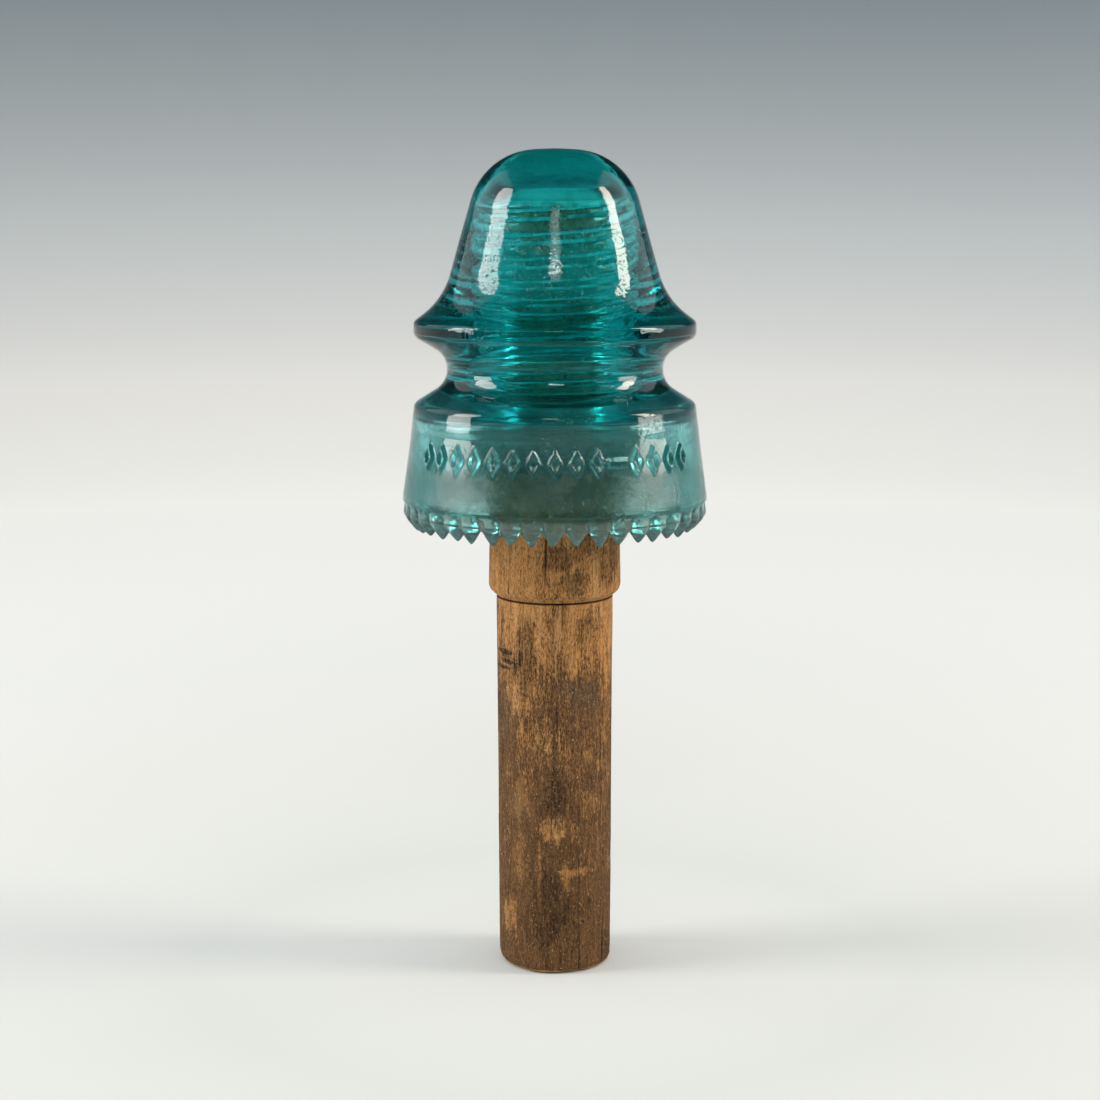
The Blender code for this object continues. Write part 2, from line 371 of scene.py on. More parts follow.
def outside_outline():
    """From the crown down to the shoulder, and on to where the skirt's finer rings start."""
    crown_side = GLASS_TOP - CROWN_DROP
    crown_edge = DOME_FOOT_RADIUS - DOME_SLOPE * (crown_side - DOME_FOOT)
    corners = [
        (0, GLASS_TOP, 0),
        (crown_edge, crown_side, CROWN_ROUND),
        (DOME_FOOT_RADIUS, DOME_FOOT, DOME_FOOT_ROUND),
        (FLANGE_RADIUS, FLANGE_UPPER_EDGE, FLANGE_UPPER_ROUND),
        (FLANGE_RADIUS, FLANGE_LOWER_EDGE, FLANGE_LOWER_ROUND),
        (GROOVE_VEE_RADIUS, GROOVE_HEIGHT, GROOVE_RADIUS),
        (SHOULDER_RADIUS, SHOULDER_HEIGHT, SHOULDER_ROUND),
        (*COARSE_END, 0),
    ]
    return subdivided(rounded_outline(corners), COARSE_STEP)


def skirt_outline():
    """The skirt's outside, which carries the ornament, down to the mould line."""
    corners = [
        (*SKIRT_START, 0),
        (SKIRT_WAIST_RADIUS, SKIRT_WAIST, SKIRT_WAIST_ROUND),
        (SKIRT_RADIUS, SKIRT_FOOT, 0),
    ]
    return subdivided(rounded_outline(corners), SKIRT_STEP)


def base_outline():
    """The rim below the mould line, and the base that the drip points hang from."""
    corners = [
        (RIM_RADIUS, RIM_TOP, 0),
        (BASE_RADIUS, BASE_HEIGHT, BASE_ROUND),
        (SKIRT_INSIDE_RADIUS, BASE_HEIGHT, BASE_INNER_ROUND),
        (SKIRT_INSIDE_RADIUS, BASE_HEIGHT + SKIRT_INSIDE_FOOT, 0),
    ]
    return subdivided(rounded_outline(corners), BASE_STEP)


def hollow_outline():
    """Up inside the skirt, down round the petticoat and up to the pinhole's mouth."""
    corners = [
        (*HOLLOW_START, 0),
        (HOLLOW_TOP_RADIUS, HOLLOW_TOP, HOLLOW_ROUND),
        (PETTICOAT_ROOT_RADIUS, HOLLOW_TOP + HOLLOW_RISE, PETTICOAT_ROOT_ROUND),
        (PETTICOAT_RADIUS, PETTICOAT_END, PETTICOAT_END_ROUND),
        (PETTICOAT_MOUTH_RADIUS, PETTICOAT_END, PETTICOAT_MOUTH_ROUND),
        (bore_radius(BORE_ENTRY), BORE_ENTRY, 0),
    ]
    return subdivided(rounded_outline(corners), COARSE_STEP)


def pinhole_outline():
    """Up the pinhole to its rounded roof."""
    corners = [
        (bore_radius(BORE_START), BORE_START, 0),
        (bore_radius(PINHOLE_TOP), PINHOLE_TOP, PINHOLE_ROUND),
        (0, PINHOLE_TOP, 0),
    ]
    return subdivided(rounded_outline(corners), BORE_STEP)


def drip_depth(theta, r):
    """How far the drip points hang below the base at an angle and a radius."""
    random = np.random.default_rng(DRIP_SEED)
    reach = random.uniform(*DRIP_REACH, DRIP_COUNT)
    shift = random.uniform(-DRIP_SHIFT, DRIP_SHIFT, DRIP_COUNT)
    index = np.floor(theta / TAU * DRIP_COUNT).astype(int) % DRIP_COUNT
    middle = (index + 0.5 + shift[index]) * TAU / DRIP_COUNT
    across = (theta - middle) * DRIP_RING_RADIUS
    outward = (r - DRIP_RING_RADIUS) / (DRIP_LEAN if r > DRIP_RING_RADIUS else 1)
    distance = np.sqrt(across**2 + outward**2 + DRIP_TIP_ROUND**2)
    full = BASE_HEIGHT - DRIP_TIP
    slope = 1 - (distance - DRIP_TIP_ROUND) / (DRIP_RADIUS - DRIP_TIP_ROUND)
    return full * reach[index] * np.maximum(slope, 0)


def valley_depth(theta, r, z):
    """How far the rim's outside is cut back between the drip points."""
    across = (theta / TAU * DRIP_COUNT) % 1.0 * 2 - 1
    valley = 1 - np.sqrt(np.maximum(1 - across * across, 0))
    return VALLEY_DEPTH * valley * fade(z, *VALLEY_FADE) * fade(r, *VALLEY_REACH)


def embossing(theta, z):
    """The ornament's relief across the front of the skirt."""
    around = (theta + math.pi / 2 + math.pi) % TAU - math.pi
    up = abs(z - ORNAMENT_HEIGHT)
    relief = np.zeros(theta.shape)
    for place in ORNAMENT_PLACES:
        across = np.abs(around - place * ORNAMENT_STEP) * SKIRT_RADIUS
        if place == BAR_PLACE:
            lengthways = 1 - across / BAR_HALF_LENGTH
            inside = np.minimum(lengthways, BAR_CORE - up / BAR_HALF_HEIGHT) * BAR_STEEPNESS
        else:
            outward = across / LOZENGE_HALF_WIDTH + up / LOZENGE_HALF_HEIGHT
            from_line = np.abs(outward - LOZENGE_LINE) / LOZENGE_LINE_WIDTH
            inside = (1 - from_line) * LOZENGE_STEEPNESS
        relief = np.maximum(relief, np.clip(inside, 0, 1))
    return ORNAMENT_RELIEF * smoothstep(relief)


def waviness(theta, z):
    """The slight swell of pressed glass, always inward of its outline."""
    wide, ripple = GLASS_SWELL, GLASS_RIPPLE
    swell = wide[0] * unevenness(theta, z, *wide[1:])
    return swell + ripple[0] * unevenness(theta, z, *ripple[1:]) - GLASS_INSET


def bore_wobble(theta, z):
    """The unevenness of the pinhole's wall, always outward of its outline."""
    size, *cells = BORE_WOBBLE
    return size * (unevenness(theta, z, *cells) + 1)


def glass_piece(material):
    axis, coarse, fine = angles(1), angles(GLASS_SEGMENTS), angles(BASE_SEGMENTS)
    rings = []
    for r, z in outside_outline():
        theta = coarse if r > 0 else axis
        calm = fade(r, 0, GLASS_CALM_CROWN)
        rings.append(ring(r + calm * waviness(theta, z), MOULD_LINE + z, theta))
    for r, z in skirt_outline():
        radius = r + waviness(fine, MOULD_LINE + z) + embossing(fine, z)
        rings.append(ring(radius, MOULD_LINE + z, fine))
    for r, z in base_outline():
        drop = drip_depth(fine, r) if z < DRIP_ZONE_TOP else 0
        rings.append(ring(r - valley_depth(fine, r, z), MOULD_LINE + z - drop, fine))
    for r, z in hollow_outline():
        mouth = bore_radius(z) if z > BORE_ENTRY - BORE_MOUTH_REACH else 0
        groove = mouth + thread_rise(coarse, MOULD_LINE + z, THREAD_CLEARANCE)
        rings.append(ring(np.maximum(r, groove), MOULD_LINE + z, coarse))
    for r, z in pinhole_outline():
        theta = coarse if r > 0 else axis
        world_z = MOULD_LINE + z
        wall = thread_rise(theta, world_z, THREAD_CLEARANCE) + bore_wobble(theta, world_z)
        rings.append(ring(r + fade(world_z, *PINHOLE_THREAD_FADE) * wall, world_z, theta))
    return skin("pressed_glass", rings, material)


# ---- The wooden pin ------------------------------------------------------------------------------


def pin_outline():
    """Down the pin's outer side: thread core, neck, collar, scribed line and shank."""
    upper, bottom, lower = SCRIBE_ROUNDS
    chamfer_foot = PIN_LENGTH - PIN_TIP_CHAMFER
    corners = [
        (0, PIN_LENGTH, 0),
        (core_radius(PIN_LENGTH) - PIN_TIP_CHAMFER, PIN_LENGTH, PIN_TIP_ROUND),
        (core_radius(chamfer_foot), chamfer_foot, PIN_TIP_ROUND),
        (core_radius(PIN_NECK_TOP), PIN_NECK_TOP, PIN_NECK_ROUND),
        (COLLAR_TOP_RADIUS, COLLAR_TOP, COLLAR_TOP_ROUND),
        (COLLAR_RADIUS, SHANK_LENGTH + COLLAR_FOOT, COLLAR_FOOT_ROUND),
        (SHANK_RADIUS, SHANK_LENGTH + SCRIBE_HALF_HEIGHT, upper),
        (SHANK_RADIUS - SCRIBE_DEPTH, SHANK_LENGTH, bottom),
        (SHANK_RADIUS, SHANK_LENGTH - SCRIBE_HALF_HEIGHT, lower),
        (SHANK_RADIUS - SHANK_TAPER, 0, SHANK_END_ROUND),
        (0, 0, 0),
    ]
    return subdivided(rounded_outline(corners), PIN_STEP)


def dent(theta, z, angle, height, half_angle, half_height):
    """A smooth hollow, 1 at its middle, at an angle and a height."""
    around = (theta - angle + math.pi) % TAU - math.pi
    return np.exp(-((around / half_angle) ** 2) - ((z - height) / half_height) ** 2)


def wear(theta, z):
    """What age has taken off the turned surface: grain furrows, dents and a worn foot."""
    pores, furrows, swell, chips = (
        unevenness(theta, z, *cells)
        for _, *cells in (WOOD_PORES, WOOD_FURROWS, WOOD_SWELL, FOOT_CHIPS)
    )
    lost = WOOD_INSET - WOOD_PORES[0] * pores + WOOD_FURROWS[0] * np.maximum(furrows, 0)
    lost += WOOD_SWELL[0] * (1 - swell)
    lost += FOOT_CHIPS[0] * np.maximum(chips, 0) * fade(z, *FOOT_CHIP_FADE)
    for depth, *place in KNOT_DENTS:
        lost += depth * dent(theta, z, *place)
    return lost


def pin_piece(material):
    axis, around = angles(1), angles(PIN_SEGMENTS)
    rings = []
    for r, z in pin_outline():
        theta = around if r > 0 else axis
        threaded = fade(z, *THREAD_START_FADE) * fade(z, *THREAD_END_FADE)
        worn = fade(r, 0, WOOD_CALM_ENDS)
        radius = r + threaded * thread_rise(theta, z) - worn * wear(theta, z)
        rings.append(ring(radius, z, theta))
    return skin("turned_wood", rings, material)


# ---- Materials -----------------------------------------------------------------------------------


class Graph:
    """A material's node tree, with short calls for the nodes used here."""

    def __init__(self, name):
        self.material = bpy.data.materials.new(name)
        self.material.use_nodes = True
        self.tree = self.material.node_tree
        self.shader = self.tree.nodes["Principled BSDF"]
        self.output = self.tree.nodes["Material Output"]
        self.place = self.new("ShaderNodeTexCoord").outputs["Object"]

    def new(self, kind, **settings):
        node = self.tree.nodes.new(kind)
        for key, value in settings.items():
            setattr(node, key, value)
        return node

    def put(self, socket, value):
        """Links a socket to another, or sets its value."""
        if isinstance(value, bpy.types.NodeSocket):
            self.tree.links.new(value, socket)
        else:
            socket.default_value = value

    def math(self, operation, *values, clamp=False):
        node = self.new("ShaderNodeMath", operation=operation, use_clamp=clamp)
        for socket, value in zip(node.inputs, values):
            self.put(socket, value)
        return node.outputs[0]

    def total(self, first, *more):
        for value in more:
            first = self.math("ADD", first, value)
        return first

    def product(self, first, *more):
        for value in more:
            first = self.math("MULTIPLY", first, value)
        return first

    def about(self, value, middle):
        return self.math("SUBTRACT", value, middle)

    def xyz(self):
        split = self.new("ShaderNodeSeparateXYZ")
        self.put(split.inputs[0], self.place)
        return split.outputs

    def from_axis(self):
        flat = self.new("ShaderNodeVectorMath", operation="LENGTH")
        self.put(flat.inputs[0], self.stretched((1, 1, 0)))
        return flat.outputs["Value"]

    def stretched(self, scale):
        node = self.new("ShaderNodeVectorMath", operation="MULTIPLY")
        self.put(node.inputs[0], self.place)
        node.inputs[1].default_value = scale
        return node.outputs[0]

    def noise(self, scale, squash=1, detail=3.0, roughness=0.5, distortion=0.0):
        """A noise with so many cells a metre, and squash times as many up the axis."""
        node = self.new("ShaderNodeTexNoise")
        self.put(node.inputs["Vector"], self.stretched((1, 1, squash)))
        node.inputs["Scale"].default_value = scale
        node.inputs["Detail"].default_value = detail
        node.inputs["Roughness"].default_value = roughness
        node.inputs["Distortion"].default_value = distortion
        return node.outputs["Fac"]

    def remap(self, value, low, high, to_low=0.0, to_high=1.0):
        """to_low up to low, to_high past high, smooth between. low may be above high."""
        node = self.new("ShaderNodeMapRange")
        node.interpolation_type = "SMOOTHSTEP"
        for key, number in zip((1, 2, 3, 4), (low, high, to_low, to_high)):
            node.inputs[key].default_value = number
        self.put(node.inputs[0], value)
        return node.outputs[0]

    def mix(self, factor, first, second):
        node = self.new("ShaderNodeMix", data_type="RGBA", blend_type="MIX")
        self.put(node.inputs[0], factor)
        for key, colour in ((6, first), (7, second)):
            is_socket = isinstance(colour, bpy.types.NodeSocket)
            self.put(node.inputs[key], colour if is_socket else (*colour, 1))
        return node.outputs[2]

    def bump(self, height, distance, normal=None):
        node = self.new("ShaderNodeBump")
        node.inputs["Strength"].default_value = 1.0
        node.inputs["Distance"].default_value = distance
        self.put(node.inputs["Height"], height)
        if normal is not None:
            self.put(node.inputs["Normal"], normal)
        return node.outputs["Normal"]


# ---- Glass ---------------------------------------------------------------------------------------

GLASS_IOR = 1.52
GLASS_TINT = (0.125, 0.83, 0.84, 1.0)
GLASS_TINT_DENSITY = 120.0


def above_mould(*heights):
    """Heights above the mould line, given in millimetres, as heights above the floor."""
    return [MOULD_LINE + height * MM for height in heights]


# Where each part of the surface lies: distances from the axis, and ramps of height.
BORE_ZONE_RADIUS = 17 * MM
BORE_ZONE_TOP = MOULD_LINE + PINHOLE_TOP + 1 * MM
HOLLOW_ZONE_RADIUS = 35.5 * MM
HOLLOW_ZONE_TOP = MOULD_LINE + 25 * MM
SKIRT_FACE_RADIUS = 37 * MM
SANDY_TOP = (13 * MM, 8 * MM)
SANDY_FOOT = (0.5 * MM, 2 * MM)
TIP_ZONE = above_mould(-0.5, -2.0)
DOME_ZONE = above_mould(50, 56)
DOME_PIT_ZONE = above_mould(78, 58)
BELOW_CROWN = above_mould(82, 76)

# The films: dust, tinted bright teal in the pinhole as painted light, and a dark band of painted
# shade on the pinhole's roof; how much of the light each scatters, and its colour. Where a film
# varies, its numbers are those of a ramp, in the order that Graph.remap takes them.
SMEARS = dict(scale=130, detail=5, roughness=0.6)
SMEAR_RAMP = (0.3, 0.7, 0.7, 1.3)
FILM_ONSET = 3.0
NO_FILM_COLOUR = (0.97, 1.0, 1.0)
BORE_DUST = (*above_mould(76, 60), 0.14, 0.36)
# The pinhole's dust is tinted bright teal as painted light: the colour of light come far through
# the glass.
BORE_DUST_AND_PAINTED_LIGHT_COLOUR = (0.20, 0.95, 0.93)
NECK_DUST_SHARE = (*above_mould(40, 56), 0.45, 1.0)
FLANK_START = (0.10 * MM, 0.35 * MM)
FLANK_END = (1.25 * MM, 1.0 * MM)
FLANK_PATCHES = dict(scale=240, detail=3)
FLANK_STRENGTH = 0.45
FLANK_DUST = (0.35, 0.65, 0.3 * FLANK_STRENGTH, 1.6 * FLANK_STRENGTH)
ROOF_ZONE = (
    MOULD_LINE + PINHOLE_TOP - 4.0 * MM,
    MOULD_LINE + PINHOLE_TOP - 1.0 * MM,
)
ROOF_DUST = 0.6
# A band on the front of the pinhole's roof is darkened as painted shade.
ROOF_BAND_BACK = (8.0 * MM, -1.0 * MM)
ROOF_BAND_FRONT = (-9.0 * MM, -6.0 * MM)
ROOF_PAINTED_SHADE = 0.2
ROOF_PAINTED_SHADE_COLOUR = (0.005, 0.10, 0.115)
HOLLOW_DUST = (*above_mould(22, 5), 0.10, 0.36)
HOLLOW_COLOUR_RAMP = above_mould(8, 16)
HOLLOW_DUST_COLOUR = (0.23, 0.24, 0.19)
HOLLOW_TOP_COLOUR = (0.05, 0.29, 0.27)
TIP_DUST = 0.09
TIP_DUST_COLOUR = (0.36, 0.80, 0.68)

# Roughness and relief of the surface.
HAZE = dict(scale=90, detail=4)
CLEAR_ROUGHNESS = (0.45, 0.75, 0.015, 0.09)
BORE_ROUGHNESS = 0.02
HOLLOW_ROUGHNESS = 0.10
SANDY_ROUGHNESS = 0.07
TIP_ROUGHNESS = 0.12
RIPPLES = dict(scale=420, detail=2)
RIPPLE_RELIEF = 0.06 * MM
PITS = dict(scale=1500, detail=2)
PIT_RAMP = (0.59, 0.71)
PIT_RELIEF = 0.26 * MM
DOME_PIT_SHARE = 0.9
HAZY_PIT_SHARE = (0.5, 0.65, 0.0, 0.7)
GRIT = dict(scale=1900, detail=2, roughness=0.6)
GRIT_RELIEF = 0.18 * MM


class GlassZones:
    """Masks, as sockets, of the parts of the glass's surface that look different."""

    def __init__(self, g):
        _, self.y, self.z = g.xyz()
        self.radius = g.from_axis()
        below_roof = g.math("LESS_THAN", self.z, BORE_ZONE_TOP)
        self.bore = g.product(g.math("LESS_THAN", self.radius, BORE_ZONE_RADIUS), below_roof)
        below_shoulder = g.math("LESS_THAN", self.z, HOLLOW_ZONE_TOP)
        in_skirt = g.math("LESS_THAN", self.radius, HOLLOW_ZONE_RADIUS)
        self.hollow = g.product(in_skirt, below_shoulder)
        outside = g.math("GREATER_THAN", self.radius, HOLLOW_ZONE_RADIUS)
        self.tips = g.product(g.remap(self.z, *TIP_ZONE), outside)
        above_line = g.about(self.z, MOULD_LINE)
        band = g.product(g.remap(above_line, *SANDY_TOP), g.remap(above_line, *SANDY_FOOT))
        self.sandy = g.product(band, g.math("GREATER_THAN", self.radius, SKIRT_FACE_RADIUS))
        # The thread's flanks lie between the pinhole's wall and the groove's bottom.
        wall = g.math("MULTIPLY_ADD", self.z, -THREAD_TAPER, core_radius(0) + THREAD_CLEARANCE)
        into_groove = g.math("SUBTRACT", self.radius, wall)
        self.flank = g.product(
            g.remap(into_groove, *FLANK_START), g.remap(into_groove, *FLANK_END)
        )
        self.roof = g.remap(self.z, *ROOF_ZONE)
        # The front band of the roof, which carries painted shade.
        self.roof_painted_shade = g.product(
            self.roof, g.remap(self.y, *ROOF_BAND_BACK), g.remap(self.y, *ROOF_BAND_FRONT)
        )


def dust_and_painted_light_film(g, zones):
    """How much light the film scatters, and its colour: dust, with painted light and a band of
    painted shade in the pinhole.
    """
    bore = g.remap(zones.z, *BORE_DUST)
    patches = g.remap(g.noise(**FLANK_PATCHES), *FLANK_DUST)
    bore = g.total(bore, g.product(zones.flank, patches))
    bore = g.product(bore, g.remap(zones.z, *NECK_DUST_SHARE))
    bore = g.total(bore, g.product(zones.roof, ROOF_DUST))
    bore = g.total(bore, g.product(zones.roof_painted_shade, ROOF_PAINTED_SHADE))
    hollow = g.remap(zones.z, *HOLLOW_DUST)
    dust_and_painted_shade = g.total(g.product(zones.bore, bore), g.product(zones.hollow, hollow))
    dust_and_painted_shade = g.total(dust_and_painted_shade, g.product(zones.tips, TIP_DUST))
    dust_and_painted_shade = g.math("MULTIPLY", dust_and_painted_shade, g.remap(g.noise(**SMEARS), *SMEAR_RAMP), clamp=True)

    height = g.remap(zones.z, *HOLLOW_COLOUR_RAMP)
    hollow_colour = g.mix(height, HOLLOW_DUST_COLOUR, HOLLOW_TOP_COLOUR)
    bore_colour = g.mix(zones.roof_painted_shade, BORE_DUST_AND_PAINTED_LIGHT_COLOUR, ROOF_PAINTED_SHADE_COLOUR)
    colour = g.mix(zones.hollow, bore_colour, hollow_colour)
    colour = g.mix(zones.tips, colour, TIP_DUST_COLOUR)
    return dust_and_painted_shade, g.mix(g.math("MULTIPLY", dust_and_painted_shade, FILM_ONSET, clamp=True), NO_FILM_COLOUR, colour)


def glass_relief(g, zones, haze):
    """The normal of faint ripples, pits on the dome and grit low on the skirt."""
    dome_pits = g.product(g.remap(zones.z, *DOME_PIT_ZONE), DOME_PIT_SHARE)
    dome_pits = g.product(g.remap(zones.z, *DOME_ZONE), dome_pits)
    below_crown = g.remap(zones.z, *BELOW_CROWN)
    hazy_pits = g.product(below_crown, g.remap(haze, *HAZY_PIT_SHARE))
    pitted = g.math("MAXIMUM", hazy_pits, dome_pits)
    pits = g.remap(g.noise(**PITS), *PIT_RAMP)
    grit = g.product(g.noise(**GRIT), zones.sandy)
    normal = g.bump(g.noise(**RIPPLES), RIPPLE_RELIEF)
    normal = g.bump(g.product(pits, pitted), PIT_RELIEF, normal)
    return g.bump(grit, GRIT_RELIEF, normal)


def teal_glass():
    """Deep teal pressed glass: pitted outside, dusty in the pinhole and under the skirt, with
    painted light and painted shade in the pinhole's film.
    """
    g = Graph("teal_glass")
    zones = GlassZones(g)
    shader = g.shader.inputs
    dust_and_painted_shade, colour = dust_and_painted_light_film(g, zones)
    g.put(shader["Base Color"], colour)
    g.put(shader["Transmission Weight"], g.math("SUBTRACT", 1.0, dust_and_painted_shade))
    shader["IOR"].default_value = GLASS_IOR
    haze = g.noise(**HAZE)
    rough = g.total(
        g.remap(haze, *CLEAR_ROUGHNESS),
        g.product(zones.bore, BORE_ROUGHNESS),
        g.product(zones.hollow, HOLLOW_ROUGHNESS),
        g.product(zones.sandy, SANDY_ROUGHNESS),
        g.product(zones.tips, TIP_ROUGHNESS),
    )
    g.put(shader["Roughness"], rough)
    g.put(shader["Normal"], glass_relief(g, zones, haze))
    volume = g.new("ShaderNodeVolumeAbsorption")
    volume.inputs["Color"].default_value = GLASS_TINT
    volume.inputs["Density"].default_value = GLASS_TINT_DENSITY
    g.put(g.output.inputs["Volume"], volume.outputs[0])
    return g.material


# ---- Wood ----------------------------------------------------------------------------------------

WOOD_TAN = (0.62, 0.295, 0.093)
WOOD_PALE = (0.78, 0.46, 0.20)
WOOD_BROWN = (0.215, 0.106, 0.041)
WOOD_DARK = (0.070, 0.038, 0.019)
WOOD_BLACK = (0.016, 0.010, 0.006)
WOOD_GREY = (0.16, 0.125, 0.085)
WOOD_SPECK = (0.80, 0.62, 0.40)
WOOD_SPECULAR = 0.15
WOOD_RELIEF = 0.9 * MM

# Noises, finest first. A small squash draws them out along the grain.
FIBRES = dict(scale=3400, squash=0.26, detail=3, roughness=0.65)
PORES = dict(scale=2600, squash=0.5, detail=3, roughness=0.7)
GLINTS = dict(scale=2300, squash=0.45, detail=3, roughness=0.7)
STRANDS = dict(scale=1300, squash=0.09, detail=4, roughness=0.6)
SPECKS = dict(scale=900, squash=0.8, detail=1)
CRACKS = dict(scale=700, squash=0.035, detail=2, distortion=0.6)
FLECKS = dict(scale=480, squash=0.4, detail=6, roughness=0.75)
BANDS = dict(scale=300, squash=0.07, detail=3, distortion=0.4)
BLOTCHES = dict(scale=95, squash=0.45, detail=5, roughness=0.6)
GREYING = dict(scale=70, squash=0.6, detail=2)

# Ramps, in the order that Graph.remap takes them, with the strengths that go with them.
NOISE_MIDDLE = 0.5
FIBRE_SHARE = 0.6
TAN_RAMP = (0.36, 0.60)
BAND_RAMP = (0.45, 0.72, 0.0, 0.40)
# The patina is thin on the upper shank, which keeps it light as painted light.
PATINA_START_AND_PAINTED_LIGHT = (100 * MM, 70 * MM, 0.0, 0.42)
PATINA_FOOT = (72 * MM, 10 * MM, 0.0, 0.26)
PATINA_RAMP = (0.0, 0.45)
PATINA_BLOTCHES = 1.15
PATINA_FLECKS = 1.0
PATINA_GRAIN = -1.6
PATINA_STRENGTH = 0.94
DARK_RAMP = (0.36, 0.66)
DAMP_FLECKS = 0.4
DAMP_RAMP = (0.78, 0.92)
DAMP_STRENGTH = 0.8
STAIN_AND_SHADE_RAMP = (0.35, 0.6, 0.85, 0.42)
GREY_RAMP = (0.55, 0.75, 0.0, 0.45)
GREY_HEIGHTS = (20 * MM, 90 * MM)
PORE_RAMP = (0.44, 0.30, 0.0, 0.75)
GLINT_RAMP = (0.58, 0.70, 0.0, 0.55)
CRACK_RAMP = (0.33, 0.27)
CRACK_STRENGTH = 0.8
SPECK_RAMP = (0.76, 0.80, 0.0, 0.7)
FOOT_WORN = (1.8 * MM, 0.9 * MM)
FOOT_RAGGED = 1.2 * MM
FOOT_STRENGTH = 0.75
SCRIBE_SHADE_RAMP = (0.42 * MM, 0.12 * MM)
SCRIBE_SHADE_STRENGTH = 0.85
ROUGHNESS_RAMP = (0.3, 0.7, 0.9, 0.7)
CRACK_RELIEF = 0.6
FLECK_RELIEF = 0.3
KNOT_RELIEF = 0.8
PORE_RELIEF = 0.3

# Marks on the pin's front. Each is an oval in millimetres (sideways, height, half width, half
# height) and its strength.
SCUFFS = [
    (-8.5, 48.0, 3.2, 5.0, 0.45),
    (0.5, 40.5, 3.6, 3.0, 1.25),
    (3.0, 27.5, 1.3, 4.0, 1.2),
    (5.5, 28.6, 3.4, 1.0, 1.2),
    (-12.0, 15.0, 1.6, 4.5, 1.0),
    (9.5, 47.0, 2.4, 2.6, 0.6),
    (9.0, 60.0, 1.2, 2.0, 0.7),
    (-9.5, 31.0, 1.6, 6.0, 0.45),
    (-4.2, 27.0, 0.45, 9.0, 0.9),
    (-11.0, 79.0, 3.0, 6.0, 0.6),
]
# Stains. The first four, on the collar's middle and right, are made heavy as painted shade on the
# side turned from the left-hand light.
STAINS_AND_PAINTED_SHADE = [
    (2.0, 116.0, 6.0, 4.0, 1.0),
    (9.0, 121.0, 6.5, 6.0, 1.0),
    (14.0, 117.0, 3.0, 9.0, 1.0),
    (5.0, 109.0, 4.5, 4.0, 1.0),
    (-8.0, 88.0, 3.0, 8.0, 0.9),
    (0.5, 49.0, 4.0, 8.0, 0.8),
    (8.0, 96.0, 4.0, 4.5, 0.7),
    (1.0, 18.0, 8.0, 10.0, 0.8),
]
KNOT_MARKS = [
    (-13.6, 88.6, 2.2, 0.7, 1.0),
    (-12.6, 86.0, 2.8, 0.6, 1.0),
    (-13.8, 84.2, 1.8, 0.5, 1.0),
    (-10.6, 85.0, 0.5, 2.6, 1.0),
    (-9.4, 87.2, 0.4, 2.2, 1.0),
]
MARK_EDGE = (1.25, 0.55)
FRONT_FACE = (-2 * MM, -6 * MM)
SCUFF_STRENGTH = 0.8
SCUFF_RAGGED = 10.0
STAIN_AND_SHADE_RAGGED = 6.0
KNOT_RAGGED = 0.25
KNOT_STRENGTH = 0.8


def marks(g, places, ragged):
    """A mask of soft-edged ovals on the pin's front, made ragged by a noise."""
    x, y, z = g.xyz()
    mask = 0.0
    for across, height, half_width, half_height, strength in places:
        dx = g.math("DIVIDE", g.about(x, across * MM), half_width * MM)
        dz = g.math("DIVIDE", g.about(z, height * MM), half_height * MM)
        far = g.total(g.product(dx, dx), g.product(dz, dz))
        mark = g.remap(g.total(far, ragged), *MARK_EDGE, 0.0, strength)
        mask = g.math("MAXIMUM", mask, mark)
    return g.product(mask, g.remap(y, *FRONT_FACE))


